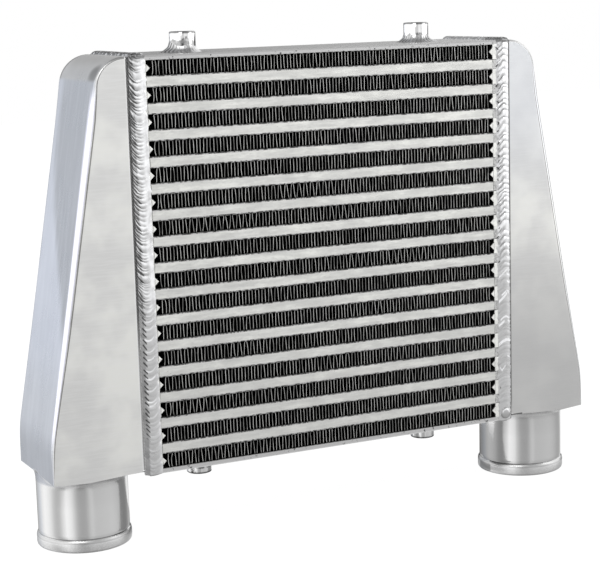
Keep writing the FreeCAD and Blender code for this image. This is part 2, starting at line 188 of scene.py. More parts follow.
# Colours of the painted reflection on the right tank's face and on the flanks.
COOL_FACE_REFLECTION = (0.79, 0.81, 0.85, 1)
FLANK_FRONT, FLANK_REAR = (0.390, 0.405, 0.437, 1), (0.575, 0.600, 0.665, 1)
FLANK_LOW, FLANK_TOP = (0.550, 0.567, 0.605, 1), (0.36, 0.375, 0.405, 1)
FLANK_HIGHLIGHT_STREAK, GLARE = (0.90, 0.93, 1.0, 1), (0.74, 0.74, 0.82, 1)


def tank_material():
    nodes, place = new_material("cast_tank")
    step, over = nodes.step, nodes.over
    x, y, z = nodes.axes(place)
    nx, ny, nz = nodes.axes(nodes.add("TexCoord").outputs["Normal"])
    reach, turning = nodes.size(x), nodes.size(ny)
    left, right = nodes.math("LESS_THAN", x, 0.0), nodes.math("GREATER_THAN", x, 0.0)
    side = step(nodes.size(nx), 0.35, 0.8)
    top = step(nz, 0.22, 0.36)
    neck = step(z, *NECK_ZONE)
    patches = nodes.noise(place, 28.0, 3.0, 0.55)
    brushed = nodes.noise(place, 60.0, 4.0, 0.6, stretch=(1.0, 1.0, 14.0))
    upright = nodes.noise(place, 70.0, 3.0, 0.5, stretch=(2.0, 3.0, 0.2))

    # Random patches and brushing; on the right tank, painted shade towards the bottom and a painted
    # cool reflection higher up.
    face = nodes.mix(step(patches, 0.38, 0.66), tint(0.825, 0.004), tint(0.955, 0.012))
    face = over(face, (tint(0.97), step(brushed, 0.35, 0.75, 0.0, 0.35)),
                (tint(0.58), step(z, *FACE_SHADE_ZONE), right, 0.75),
                (COOL_FACE_REFLECTION, step(z, *FACE_REFLECTION_ZONE), right, 0.7))

    # Painted reflection: the flank is darker at the front, with a soft border that rises towards
    # the rear, and painted bright streaks.
    past_border = nodes.math("SUBTRACT", y, step(z, *BAND_BORDER))
    soft = nodes.math("MULTIPLY_ADD", upright, 0.006, past_border)
    flank = nodes.mix(step(soft, *BAND_FROM_TO), FLANK_FRONT, FLANK_REAR)
    flank = over(flank, (FLANK_LOW, step(z, *FLANK_FOOT)),
                 (FLANK_HIGHLIGHT_STREAK, step(upright, 0.40, 0.62, 0.0, 0.08)),
                 (FLANK_TOP, step(z, *FLANK_HEAD, 0.0, 0.35)))

    # The crown: painted shade where it turns down towards the sides, and random lighter patches.
    crown = nodes.mix(step(nz, 0.35, 0.95), tint(0.42), tint(0.62))
    crown = over(crown, (tint(0.8), step(patches, 0.4, 0.7, 0.0, 0.2)))
    # A dark spot near the front of the left tank's crown.
    crown_spot = nodes.add("VectorMath", {0: place, 1: CROWN_SPOT_PLACE}, operation="DISTANCE").outputs["Value"]
    crown_spot = nodes.math("MULTIPLY_ADD", patches, 0.006, crown_spot)
    crown = over(crown, (tint(0.20), step(crown_spot, *CROWN_SPOT_EDGE)))

    # Painted highlight on the rounding of the left tank's front edge, the crown, and the dark lines
    # at both; the one along the crown's rear edge is painted shade.
    glare = nodes.times(step(turning, 0.02, 0.40), step(turning, 0.96, 0.90))
    past_edge = nodes.math("SUBTRACT", y, step(z, *GLARE_SHIFT))
    onto_flank = nodes.times(side, step(past_edge, *GLARE_EDGE))
    glare = nodes.times(nodes.math("MAXIMUM", glare, onto_flank), left, step(z, *GLARE_FOOT))
    colour = nodes.mix(side, face, flank)
    colour = over(colour, (GLARE, glare, step(z, *GLARE_HEAD)),
                  (crown, top),
                  (tint(0.20), step(y, *CROWN_REAR_SHADE), top, left))
    edge = nodes.mix(step(turning, 0.985, 0.998), tint(0.45), colour)
    colour = over(colour, (edge, step(z, *CROWN_FOOT), step(turning, 0.35, 0.6)),
                  (tint(0.20), step(turning, 0.945, 0.968), step(turning, 0.994, 0.982),
                   step(z, *LINE_FOOT), 0.85))

    # The neck, with painted light on the downward faces at its root and painted shade on the right
    # neck, its bead, and painted shade in the crease over the bead.
    colour = over(colour, (tint(1.0), step(z, *ROOT_LIGHT_ZONE), step(nz, -0.1, -0.5)),
                  (nodes.mix(left, tint(0.76), tint(0.84)), neck))
    fine = nodes.noise(place, 900.0, 2.0, 0.6, stretch=(1.0, 1.0, 3.0))
    lip = step(z, *LIP_ZONE)
    bead = nodes.mix(step(fine, 0.35, 0.65), tint(0.66), tint(0.80))
    colour = over(colour, (bead, lip),
                  (tint(0.42), step(z, *SHOULDER_TOP), step(z, *SHOULDER_FOOT), 0.8),
                  (tint(0.42), nodes.math("COMPARE", z, *CREASE_SHADE)))

    # Painted shade in the valley beside the seam weld, hatched with painted shadow on the left
    # tank, and painted shadow in the slot under the right one.
    # A painted highlight along the left tank's edge by the weld.
    colour = over(colour, (tint(1.0), nodes.math("COMPARE", reach, *RIM_HIGHLIGHT), left, 0.8))
    slanted = nodes.math("MULTIPLY_ADD", reach, -1.7, z)
    wave = nodes.math("MULTIPLY_ADD", nodes.noise(place, 300.0), 2.5, nodes.times(slanted, 2600.0))
    hatch_shadow = step(nodes.math("SINE", wave), 0.1, 0.6)
    above = step(z, *VALLEY_SPLIT)
    valley_shade = nodes.mix(left, tint(0.36), nodes.mix(above, tint(0.44), tint(0.17)))
    valley_shade = over(valley_shade, (nodes.mix(above, tint(0.36), tint(0.06)), hatch_shadow, left))
    colour = over(colour, (valley_shade, step(reach, *RIM_EDGE)),
                  (tint(0.12), nodes.math("COMPARE", x, *SLOT_SHADOW_X), step(z, *SLOT_SHADOW_TOP),
                   step(z, *SLOT_SHADOW_FOOT)))

    rough = step(patches, 0.3, 0.7, 0.30, 0.42)
    rough = nodes.math("MULTIPLY_ADD", neck, -0.22, rough)
    rough = nodes.math("MULTIPLY_ADD", lip, 0.26, rough)
    rough = nodes.math("MULTIPLY_ADD", side, -0.06, rough, clamp=True)
    return finish(nodes, colour, rough, nodes.math("ADD", fine, brushed), 0.22, 0.00012)


# Ends of the bars, in metres from the middle: grey end, cracks, joint with half its width, sides.
BAR_END, CRACK_FROM = 0.1340, 0.1338
JOINT, NOSE_SIDE = (0.1343, 0.00020), 0.1345
# Depth from which the nose bars turn to painted shade, in metres.
SHADE_DEPTH = (0.0376, 0.0370)


def bar_material(name, dark_end, pale):
    nodes, place = new_material(name)
    step, over = nodes.step, nodes.over
    x, y, z = nodes.axes(place)
    reach = nodes.size(x)
    streaks = nodes.noise(place, 40.0, 4.0, 0.6, stretch=(1.0, 1.0, 9.0))
    grain = nodes.noise(place, 520.0, 3.0, 0.7, stretch=(0.7, 1.0, 2.0))
    specks = nodes.noise(place, 420.0, 2.0, 0.7, stretch=(1.0, 1.0, 2.0))
    cloudy = nodes.noise(place, 150.0, 2.0, 0.6, stretch=(0.6, 1.0, 1.4))
    # Random streaks, grain and clouds, painted shade towards the bottom of the core, dark specks
    # and grey ends past the joint.
    colour = nodes.mix(step(streaks, 0.3, 0.7), tint(0.76 + 1.6 * pale, 0.010), tint(0.95, 0.014))
    colour = over(colour, (tint(0.60, 0.01), step(grain, 0.50, 0.72, 0.0, 0.35)),
                  (tint(0.64, 0.01), step(cloudy, 0.40, 0.62, 0.35, 0.0)),
                  (tint(0.66, 0.01), step(z, 0.19, 0.06, 0.05, 0.40)),
                  (tint(0.30), step(specks, 0.68, 0.76, 0.0, 0.6)),
                  (tint(0.60), step(grain, 0.3, 0.6, 0.5 * dark_end, dark_end),
                   nodes.math("GREATER_THAN", x, BAR_END)))
    crack = nodes.math("COMPARE", nodes.noise(place, 330.0, 2.0, 0.6), 0.5, 0.016)
    colour = over(colour, (tint(0.12), crack, nodes.math("GREATER_THAN", x, CRACK_FROM),
                           0.75 * dark_end))
    wobble = nodes.math("MULTIPLY_ADD", nodes.noise(place, 160.0), 0.0012, reach)
    broken = step(nodes.noise(place, 130.0), 0.40, 0.55, 0.15, 0.8)
    # A dark joint line, broken in places, and painted shade on the nose bars more than a millimetre
    # behind the front.
    colour = over(colour, (tint(0.12), nodes.math("COMPARE", wobble, *JOINT), broken),
                  (grey(0.012), step(nodes.size(y), *SHADE_DEPTH),
                   nodes.math("LESS_THAN", reach, NOSE_SIDE), 1.0 - dark_end))
    return finish(nodes, colour, step(streaks, 0.2, 0.8, 0.42, 0.58),
                  nodes.math("ADD", streaks, grain), 0.35, 0.00015, 1.0 - 4 * pale)


PLATE_FRONT, PLATE_LOW_EDGE = (0.0374, 0.0379), (0.0510, 0.0500)
PLATE_TOP_EDGE = ((CORE_TOP - 1.3) * MM, (CORE_TOP - 0.9) * MM)


def plate_material():
    nodes, place = new_material("end_plate")
    _, y, z = nodes.axes(place)
    patches = nodes.noise(place, 30.0, 4.0, 0.6, stretch=(1.0, 3.0, 1.0))
    specks = nodes.noise(place, 330.0, 2.0, 0.7)
    colour = nodes.mix(nodes.step(patches, 0.35, 0.7), tint(0.34), tint(0.43, 0.004))
    colour = nodes.over(colour, (tint(0.20), nodes.step(specks, 0.68, 0.76, 0.0, 0.7)))
    strip = nodes.mix(nodes.step(specks, 0.62, 0.70), tint(0.64), tint(0.13))
    strip = nodes.over(strip, (tint(0.95), nodes.step(z, *PLATE_LOW_EDGE, 0.0, 0.6)),
                       (tint(0.50), nodes.step(z, *PLATE_TOP_EDGE)))
    colour = nodes.over(colour, (strip, nodes.step(nodes.size(y), *PLATE_FRONT)))
    return finish(nodes, colour, nodes.step(patches, 0.2, 0.8, 0.34, 0.5), specks, 0.3, 0.0002)


def sheet_material():
    nodes, place = new_material("parting_sheet")
    ragged = nodes.noise(place, 260.0, 3.0, 0.7, stretch=(1.0, 1.0, 0.3))
    # Ragged patches of painted shade along the sheets' edges.
    colour = nodes.mix(nodes.step(ragged, 0.42, 0.58), tint(0.12), tint(0.62))
    return finish(nodes, colour, nodes.step(ragged, 0.3, 0.7, 0.6, 0.4), ragged, 0.5, 0.0003)


# Depths of the fins' bright front edges and of the painted shade that deepens behind them, and
# heights in a row of the painted shade in their folds, in metres.
FIN_EDGE, FIN_NEAR = (0.03785, 0.03799), (0.0362, 0.0380)
FIN_LOW_FOLD = (0.0016, 0.0007)
FIN_HIGH_FOLD = ((AIR_ROW_HEIGHT - 1.3) * MM, (AIR_ROW_HEIGHT - 0.6) * MM)


def fin_material():
    nodes, place = new_material("air_fin")
    _, y, z = nodes.axes(place)
    depth = nodes.size(y)
    tone = nodes.noise(place, 260.0, 2.0, 0.6, stretch=(1.0, 0.2, 0.22))
    row = nodes.math("MODULO", nodes.math("SUBTRACT", z, FIRST_AIR_ROW * MM), ROW_PITCH * MM)
    high = nodes.times(nodes.step(row, *FIN_HIGH_FOLD), 0.55)
    fold_shade = nodes.math("MULTIPLY_ADD", nodes.step(row, *FIN_LOW_FOLD), 0.80, high, clamp=True)
    # Painted shade: nearly black away from the front edges and in the folds of each row; the edges
    # vary at random, a few with a painted white glint.
    deep_shade = nodes.mix(nodes.step(depth, *FIN_NEAR), grey(0.004), grey(0.07))
    lit = nodes.mix(nodes.step(tone, 0.36, 0.60), tint(0.30, 0.01), tint(0.80, 0.01))
    lit = nodes.over(lit, (tint(1.0), nodes.step(tone, 0.66, 0.70)),
                     (grey(0.05), fold_shade))
    colour = nodes.over(deep_shade, (lit, nodes.step(depth, *FIN_EDGE)))
    return finish(nodes, colour, nodes.step(tone, 0.2, 0.8, 0.5, 0.35), tone, 0.1, 0.0001)


def weld_material():
    nodes, place = new_material("weld_bead")
    # The first attribute is painted shade in the grooves; tone holds random tone and painted
    # highlights, made less metallic where bright.
    groove_shade = nodes.add("Attribute", attribute_name="groove_shade").outputs["Fac"]
    tone = nodes.add("Attribute", attribute_name="tone").outputs["Fac"]
    grain = nodes.noise(place, 700.0, 3.0, 0.6)
    patches = nodes.noise(place, 120.0, 3.0, 0.6)
    level = nodes.math("MULTIPLY_ADD", patches, 0.24, nodes.math("SUBTRACT", tone, 0.12),
                       clamp=True)
    colour = nodes.mix(level, tint(0.58), (0.98, 0.985, 1.0, 1))
    colour = nodes.over(colour, (tint(0.08), nodes.step(groove_shade, 0.0, 0.80, 0.0, 0.97)))
    return finish(nodes, colour, nodes.step(patches, 0.3, 0.7, 0.26, 0.38), grain, 0.2, 0.0002,
                  nodes.step(level, 0.55, 1.0, 1.0, 0.45))


BOSS_GREY_FOOT, BOSS_RIM = (0.0165, 0.0140), ((BOSS_HEIGHT - 1.7) * MM, (BOSS_HEIGHT - 0.9) * MM)
GREY_FOOT_RIGHT_SHIFT = 0.0035


def boss_material():
    nodes, place = new_material("turned_boss")
    x, _, z = nodes.axes(place)
    rings = nodes.noise(place, 500.0, 2.0, 0.5, stretch=(0.2, 0.2, 4.0))
    tone = nodes.noise(place, 120.0, 3.0, 0.6)
    blotch = nodes.noise(place, 300.0, 3.0, 0.6)
    off_middle = nodes.size(nodes.math("SUBTRACT", z, MIDDLE * MM))
    rise = nodes.math("SUBTRACT", off_middle, STACK / 2 * MM)
    colour = nodes.mix(nodes.step(tone, 0.35, 0.7), tint(0.90), tint(0.99))
    # Grey near the foot with a blotchy border, reaching less high on the right bosses.
    grey_foot = nodes.math("MULTIPLY_ADD", blotch, 0.012, rise)
    grey_foot = nodes.math("ADD", grey_foot, nodes.step(x, -0.01, 0.01, 0.0, GREY_FOOT_RIGHT_SHIFT))
    grey_foot_colour = nodes.mix(nodes.step(blotch, 0.4, 0.6), tint(0.28), tint(0.40))
    # Painted shade over the end of each boss, from just under the rim.
    colour = nodes.over(colour, (grey_foot_colour, nodes.step(grey_foot, *BOSS_GREY_FOOT)),
                        (tint(0.24), nodes.step(rise, *BOSS_RIM)))
    return finish(nodes, colour, nodes.step(tone, 0.3, 0.7, 0.05, 0.11), rings, 0.10, 0.0001)


# ---- Mesh helpers ----

MERGE, DEGENERATE = 0.01, 0.001


def add_object(name, data):
    item = bpy.data.objects.new(name, data)
    bpy.context.scene.collection.objects.link(item)
    return item


def mesh_object(name, bm, material):
    mesh = bpy.data.meshes.new(name)
    bm.to_mesh(mesh)
    bm.free()
    mesh.materials.append(material)
    return add_object(name, mesh)


def piece(name, bm, material, replaced, angle):
    """Turns the mesh from millimetres into an object that stands for a node of the solids."""
    bmesh.ops.remove_doubles(bm, verts=bm.verts, dist=MERGE)
    bmesh.ops.dissolve_degenerate(bm, edges=bm.edges, dist=DEGENERATE)
    bmesh.ops.recalc_face_normals(bm, faces=bm.faces)
    bmesh.ops.scale(bm, vec=(MM, MM, MM), verts=bm.verts)
    item = mesh_object(name, bm, material)
    mesh = item.data
    mesh.polygons.foreach_set("use_smooth", [True] * len(mesh.polygons))
    mesh.set_sharp_from_angle(angle=radians(angle))
    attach(item, "root")
    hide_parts(replaced)


def bridge(bm, lines, closed_across=False, closed_along=False):
    """Quads between lines of vertices."""
    count = len(lines[0])
    across = count if closed_across else count - 1
    along = len(lines) if closed_along else len(lines) - 1
    for j in range(along):
        first, second = lines[j], lines[(j + 1) % len(lines)]
        for i in range(across):
            k = (i + 1) % count
            bm.faces.new((first[i], first[k], second[k], second[i]))


def skin(bm, rows, closed_across=False):
    """Quads between rows of points."""
    lines = [[bm.verts.new(point) for point in row] for row in rows]
    bridge(bm, lines, closed_across)
    return lines


def smoothstep(value, low, high):
    part = min(1.0, max(0.0, (value - low) / (high - low)))
    return part * part * (3 - 2 * part)


def fade(value, low, high):
    """The same downwards, from 1 at low to 0 at high."""
    return 1 - smoothstep(value, low, high)


def waver(x, y=0.0, z=0.0):
    """Smooth noise."""
    return noise.noise(Vector((x, y, z)))


# ---- Air fins ----

FIN_WALLS = 106
FIN_HALF, FIN_GAP, FIN_MARGIN = 0.17, 0.02, 0.2
FIN_CORNER = 0.6
FIN_STAGGER, STAGGER_EASE = 2.3, 9.0
CURLED_WALLS = 3
DRIFT_START, DRIFT_KEPT, LEAN_SPREAD = 0.25, 0.93, 0.07
BOW_SPREAD, CURL_SPREAD, DENT_SPREAD = 0.10, 0.28, 0.02
FIN_SEED = 100


def folded_path(rng, low, high):
    """Middle line of a folded strip, wall by wall, each a little different."""
    pitch = 2 * (FIN_REACH - FIN_MARGIN) / FIN_WALLS
    corner = FIN_CORNER
    path = []
    drift = rng.uniform(-DRIFT_START, DRIFT_START)
    for k in range(FIN_WALLS):
        x = -FIN_REACH + FIN_MARGIN + (k + 0.5) * pitch
        drift = DRIFT_KEPT * drift + rng.gauss(0.0, LEAN_SPREAD)
        lean = drift + rng.gauss(0.0, LEAN_SPREAD) + (LEAN_SPREAD if k % 2 else -LEAN_SPREAD)
        bow = rng.gauss(0.0, BOW_SPREAD)
        bow += rng.gauss(0.0, CURL_SPREAD) if k < CURLED_WALLS else 0.0
        foot, head = x - lean, x + lean
        wall = [(foot - corner, low), (foot - 0.3 * corner, low + 0.3 * corner),
                (foot, low + corner)]
        for part in (0.3, 0.5, 0.7):
            middle = foot + (head - foot) * part + bow * sin(pi * part)
            wall.append((middle + rng.gauss(0.0, DENT_SPREAD), low + (high - low) * part))
        wall += [(head, high - corner), (head + 0.3 * corner, high - 0.3 * corner),
                 (head + corner, high)]
        if k % 2:
            wall = [(2 * x - wx, wz) for wx, wz in wall][::-1]
        path += wall
    return path


def fin_strip(index, material):
    rng = random.Random(FIN_SEED + index)
    low = FIRST_AIR_ROW + index * ROW_PITCH + FIN_HALF + FIN_GAP
    high = FIRST_AIR_ROW + index * ROW_PITCH + AIR_ROW_HEIGHT - FIN_HALF - FIN_GAP
    path = folded_path(rng, low, high)
    sides = ([], [])
    for i, (x, z) in enumerate(path):
        before, after = path[max(i - 1, 0)], path[min(i + 1, len(path) - 1)]
        run = hypot(after[0] - before[0], after[1] - before[1]) or 1.0
        normal = (-(after[1] - before[1]) / run, (after[0] - before[0]) / run)
        for side, sign in zip(sides, (1, -1)):
            side.append((x + sign * FIN_HALF * normal[0], z + sign * FIN_HALF * normal[1]))
    bm = bmesh.new()
    loops = []
    for y in (-HALF_DEPTH, 0.0, HALF_DEPTH):
        shift = 0.0 if y else FIN_STAGGER
        ring = []
        for x, z in sides[0] + sides[1][::-1]:
            ease = min(1.0, max(0.0, (FIN_REACH - abs(x)) / STAGGER_EASE))
            ring.append((x + shift * ease, y, z))
        loops.append(ring)
    lines = skin(bm, loops, closed_across=True)
    count = len(path)
    for line in (lines[0], lines[-1]):
        for i in range(count - 1):
            bm.faces.new((line[i], line[i + 1], line[2 * count - 2 - i], line[2 * count - 1 - i]))
    name = f"air_fin_{index + 1:02d}"
    piece("folded_" + name, bm, material, name, 50.0)


# ---- End tanks ----

BEND_STEPS, LEAN_STEPS, CROWN_STEPS, EDGE_STEPS = 6, 20, 18, 6


def tank_line(inset):
    """Outer line of the tank's section from the floor to the top, as (depth, height, normal)."""
    slope = (BASE_DEPTH - TOP_DEPTH) / (STACK - KNEE_HEIGHT)
    lean = atan(slope)
    bend_z = KNEE_HEIGHT - BEND_RADIUS * sin(lean) / (1 + cos(lean))
    bend_x = BASE_DEPTH - BEND_RADIUS
    crown_z = STACK - CROWN_RADIUS
    crown_x = TOP_DEPTH - CROWN_RADIUS * (1 - sin(lean)) / cos(lean)
    line = []
    for part in (0, 0.1, 0.25, 0.5, 0.75):
        line.append((BASE_DEPTH - inset, inset + (bend_z - inset) * part, 0.0))
    reach = BEND_RADIUS - inset
    for i in range(BEND_STEPS + 1):
        turn = lean * i / BEND_STEPS
        line.append((bend_x + reach * cos(turn), bend_z + reach * sin(turn), turn))
    start = line[-1]
    reach = CROWN_RADIUS - inset
    end = (crown_x + reach * cos(lean), crown_z + reach * sin(lean))
    for i in range(1, LEAN_STEPS):
        part = i / LEAN_STEPS
        line.append((start[0] + (end[0] - start[0]) * part,
                     start[1] + (end[1] - start[1]) * part, lean))
    for i in range(CROWN_STEPS + 1):
        turn = lean + (pi / 2 - lean) * i / CROWN_STEPS
        line.append((crown_x + reach * cos(turn), crown_z + reach * sin(turn), turn))
    return line


def edge_radius(z):
    """Rounding between a face and the outer side: wide above, nearly sharp at floor and crown."""
    rounded = 0.9 + 1.4 * smoothstep(z, 0.0, 32.0) + 2.1 * smoothstep(z, 25.0, 115.0)
    return rounded - 2.7 * smoothstep(z, STACK - 45.0, STACK - 5.0)


def inner_radius(z):
    return 0.8


def floor_dip(u, y):
    """How far the cast floor hangs down round the neck."""
    near = exp(-((u - 44.0) / 20.0) ** 2)
    return 2.0 * near * min(1.0, abs(y) / HALF_DEPTH)


def tank_rows(inset, edge, half):
    """Rows across the tank, from the front rim round the outer side to the rear rim."""
    inner = BEVEL_WIDTH if inset == 0 else 0.0
    rows = []
    for u, z, turn in tank_line(inset) + [(inner, STACK - inset, pi / 2)]:
        radius = edge(z)
        nu, nz = cos(turn), sin(turn)
        base_u, base_z = max(inner, u - radius * nu), z - radius * nz
        row = []
        for part in (0.0, 0.02, 0.2, 0.4, 0.6, 0.8, 0.98):
            row.append((inner + (base_u - inner) * part, -half, base_z))
        for i in range(EDGE_STEPS + 1):
            swing = pi / 2 * i / EDGE_STEPS
            reach = radius * sin(swing)
            row.append((base_u + reach * nu, -half + radius * (1 - cos(swing)),
                        base_z + reach * nz))
        flat = half - radius
        for part in (-0.96, -0.75, -0.5, -0.25, 0.0):
            row.append((base_u + radius * nu, flat * part, base_z + radius * nz))
        row += [(pu, -py, pz) for pu, py, pz in row[-2::-1]]
        rows.append(row)
    return rows


def ring_to_box(angle, low, high, half):
    """Distance from the neck's axis to the edge of the floor in that direction."""
    du, dy = cos(angle), sin(angle)
    limits = []
    if du > 1e-6:
        limits.append((high - NECK_AXIS) / du)
    if du < -1e-6:
        limits.append((low - NECK_AXIS) / du)
    if abs(dy) > 1e-6:
        limits.append(half / abs(dy))
    return min(limits)


NECK_SEGMENTS = 96


def neck_angles():
    """Directions round the neck's axis, with the floor's four corners among them."""
    angles = [2 * pi * i / NECK_SEGMENTS for i in range(NECK_SEGMENTS)]
    for u in (BEVEL_WIDTH, BASE_DEPTH):
        for y in (-HALF_DEPTH, HALF_DEPTH):
            corner = atan2(y, u - NECK_AXIS) % (2 * pi)
            nearest = min(range(NECK_SEGMENTS), key=lambda i: abs(angles[i] - corner))
            angles[nearest] = corner
    return angles


# The neck from its root down, round the bead and up the bore: radius and height.
NECK_PROFILE = [(radius + more, z) for radius, points in (
    (NECK_RADIUS, ((0, -6.5), (0, -20.0), (0, -38.0), (0, -40.2), (-0.25, -40.7), (0.15, -41.1),
                   (0.6, -41.6), (1.0, -42.3))),
    (BEAD_RADIUS, ((0, -43.6), (0, -48.0), (-0.2, -48.9), (-0.7, -49.6), (-1.5, -49.95),
                   (-2.9, -NECK_LENGTH))),
    (BORE_RADIUS, ((0.5, -49.9), (0, -49.2), (0, -25.0), (0, WALL)))) for more, z in points]
FLOOR_RINGS = (1.0, 0.97, 0.8, 0.6, 0.42, 0.27, 0.15, 0.06)
FLARE_WIDTH, FLARE_FADE = 9.0, 2.0
LIFT_HEIGHT, DIP_HEIGHT = 30.0, 14.0


def end_tank(name, side, material):
    bm = bmesh.new()

    def put(u, y, z):
        lift = FLOOR_LIFT * max(0.0, 1 - z / LIFT_HEIGHT) ** 2 if z >= 0 else 0.0
        return (side * (RIM_X + u), y, CORE_BOTTOM + z + lift)

    def sag(u, y, z):
        x, y, height = put(u, y, z)
        return (x, y, height - floor_dip(u, y) * max(0.0, 1 - z / DIP_HEIGHT) ** 2)

    outer = tank_rows(0.0, edge_radius, HALF_DEPTH)
    skin(bm, [[sag(*point) for point in row] for row in outer])
    inner = tank_rows(WALL, inner_radius, HALF_DEPTH - WALL)
    skin(bm, [[put(*point) for point in row] for row in inner])

    # The rim that is welded to the core: bevel, end of the wall and edge of the cavity.
    slant = HALF_DEPTH - BEVEL_DEPTH
    cavity_half, cavity_top = HALF_DEPTH - WALL, STACK - WALL
    for sign, column in ((-1, 0), (1, -1)):
        edge = [row[column] for row in outer]
        lip = [(0.0, sign * slant, min(max(z, BEVEL_DEPTH), STACK - BEVEL_DEPTH))
               for _, _, z in edge]
        wall = [(0.0, sign * cavity_half, min(max(z, WALL), cavity_top)) for _, _, z in edge]
        skin(bm, [[sag(*point) for point in edge],
                  [put(*point) for point in lip], [put(*point) for point in wall]])
    crest = outer[-1]
    lip = [(0.0, y * slant / HALF_DEPTH, z - BEVEL_DEPTH) for _, y, z in crest]
    wall = [(0.0, max(-cavity_half, min(cavity_half, y)), cavity_top) for _, y, _ in crest]
    skin(bm, [[put(*point) for point in line] for line in (crest, lip, wall)])

    # The floor in rings from its edge to the neck, then the neck and the floor inside.
    angles = neck_angles()
    edges = [ring_to_box(angle, BEVEL_WIDTH, BASE_DEPTH, HALF_DEPTH) for angle in angles]
    floor = []
    for part in FLOOR_RINGS:
        line = []
        for angle, edge in zip(angles, edges):
            reach = NECK_RADIUS + (edge - NECK_RADIUS) * part
            flare = min(FLARE_WIDTH, edge - NECK_RADIUS)
            gap = min(1.0, max(0.0, (reach - NECK_RADIUS) / max(flare, 0.01)))
            drop = (ROOT_FLARE + FLOOR_LIFT) * (1 - sqrt(1 - (1 - gap) ** 2))
            drop *= min(1.0, (edge - NECK_RADIUS) / FLARE_FADE)
            u, y = NECK_AXIS + reach * cos(angle), reach * sin(angle)
            x, y, z = put(u, y, 0.0)
            line.append((x, y, z - drop - floor_dip(u, y)))
        floor.append(line)
    for radius, z in NECK_PROFILE:
        floor.append([put(NECK_AXIS + radius * cos(angle), radius * sin(angle), z)
                      for angle in angles])
    cavity = []
    for angle in angles:
        reach = ring_to_box(angle, 0.0, BASE_DEPTH - WALL, cavity_half)
        cavity.append(put(NECK_AXIS + reach * cos(angle), reach * sin(angle), WALL))
    floor.append(cavity)
    skin(bm, floor, closed_across=True)
    skin(bm, [[put(u, y, z) for y in (-half, half)]
              for u, half, z in ((BEVEL_WIDTH, HALF_DEPTH, 0.0), (0.0, slant, BEVEL_DEPTH),
                                 (0.0, cavity_half, WALL))])
    piece("cast_" + name, bm, material, name, 38.0)


# ---- Seam welds ----

WELD_STEP = 0.38
WELD_POINTS = 25
CORNER_STEPS = 5
PATTERN_LENGTH, PATTERN_START = 420.0, 40.0
TOP_RUN, REAR_RUN = 300.0, 57.0


class Ripples:
    """An uneven row of ripples along a weld, as places where each ends."""

    def __init__(self, seed, spacing, spread):
        rng = random.Random(seed)
        self.ends = [0.0]
        self.sizes = []
        self.tones = []
        while self.ends[-1] < PATTERN_LENGTH:
            self.ends.append(self.ends[-1] + max(0.5 * spacing, rng.gauss(spacing, spread)))
            self.sizes.append(rng.uniform(0.45, 1.0))
            self.tones.append(rng.random())

    def at(self, run):
        """Where in its ripple a place is, from 0 to 1, and the ripple's size, tone and length."""
        run = (run + PATTERN_START) % PATTERN_LENGTH
        k = bisect(self.ends, run) - 1
        length = self.ends[k + 1] - self.ends[k]
        return (run - self.ends[k]) / length, self.sizes[k], self.tones[k], length


def weld_path():
    """Points round the joint: place, outward direction, height over the core, run, side."""
    corners = [(-HALF_DEPTH, CORE_BOTTOM), (-HALF_DEPTH, CORE_TOP), (HALF_DEPTH, CORE_TOP),
               (HALF_DEPTH, CORE_BOTTOM)]
    outward = [pi, pi / 2, 0.0, -pi / 2]
    names = ("front", "top", "rear", "bottom")
    path = []
    for i in range(4):
        start, end = corners[i], corners[(i + 1) % 4]
        length = hypot(end[0] - start[0], end[1] - start[1])
        steps = int(length / WELD_STEP)
        for k in range(1, steps):
            part = k / steps
            y = start[0] + (end[0] - start[0]) * part
            z = start[1] + (end[1] - start[1]) * part
            run = z - CORE_BOTTOM if i % 2 == 0 else TOP_RUN + y
            path.append(((y, z), outward[i], z - CORE_BOTTOM, run + REAR_RUN * (i // 2), names[i]))
        for k in range(CORNER_STEPS):
            turn = outward[i] - pi / 2 * (k + 0.5) / CORNER_STEPS
            path.append((end, turn, path[-1][2], path[-1][3], names[i]))
    return path


def line_at(part, width):
    """1 on the border between two ripples, 0 away from it."""
    return fade(min(part, 1 - part), 0.0, width)


def mask(value, low, high, fade_low, fade_high):
    """Rises from low to high and falls again from fade_low to fade_high."""
    return smoothstep(value, low, high) * fade(value, fade_low, fade_high)


# Seed, spacing and spread of the spacing, in millimetres.
LEFT_COARSE = Ripples(11, 2.9, 0.9)
LEFT_FINE = Ripples(12, 1.9, 0.35)
LEFT_ARCS = Ripples(13, 5.6, 2.2)
LEFT_HATCH = Ripples(14, 3.6, 0.7)
RIGHT_BRAID = Ripples(21, 4.5, 1.2)
RIGHT_ARCS = Ripples(22, 3.4, 0.9)
ROPE = Ripples(31, 2.2, 0.4)
# Heights over the core's bottom between which the lower pattern passes into the upper one.
LEFT_BLEND, RIGHT_BLEND = (88.0, 140.0), (96.0, 150.0)
LEFT_END, RIGHT_END = 3.5, 3.0
DASHES_TO = 150.0

# Painted highlight strokes on the lower right weld: height, range across, slope, curve, width.
RIGHT_HIGHLIGHT_MARKS = [(109.3, -0.83, 0.30, 4.4, 0.0, 1.5), (90.7, -0.83, 0.30, 5.2, 0.0, 1.9),
               (95.6, -0.40, 0.15, 4.6, 0.0, 1.3), (72.6, -0.83, -0.10, 4.6, 0.0, 1.7),
               (77.1, -0.55, 0.65, 6.4, -4.6, 1.1), (58.4, -0.80, 1.05, 5.8, -2.65, 2.1),
               (38.6, -0.48, 0.02, 6.5, 0.0, 1.3), (40.4, -0.74, -0.46, -6.6, 0.0, 1.1),
               (112.0, 0.35, 0.85, -3.0, 0.0, 1.4), (106.0, 0.40, 0.85, -3.0, 0.0, 1.2),
               (99.0, 0.35, 0.85, -3.0, 0.0, 1.2), (76.0, 0.50, 0.90, -2.6, 0.0, 1.2),
               (49.0, 0.45, 0.85, -3.0, 0.0, 0.9)]
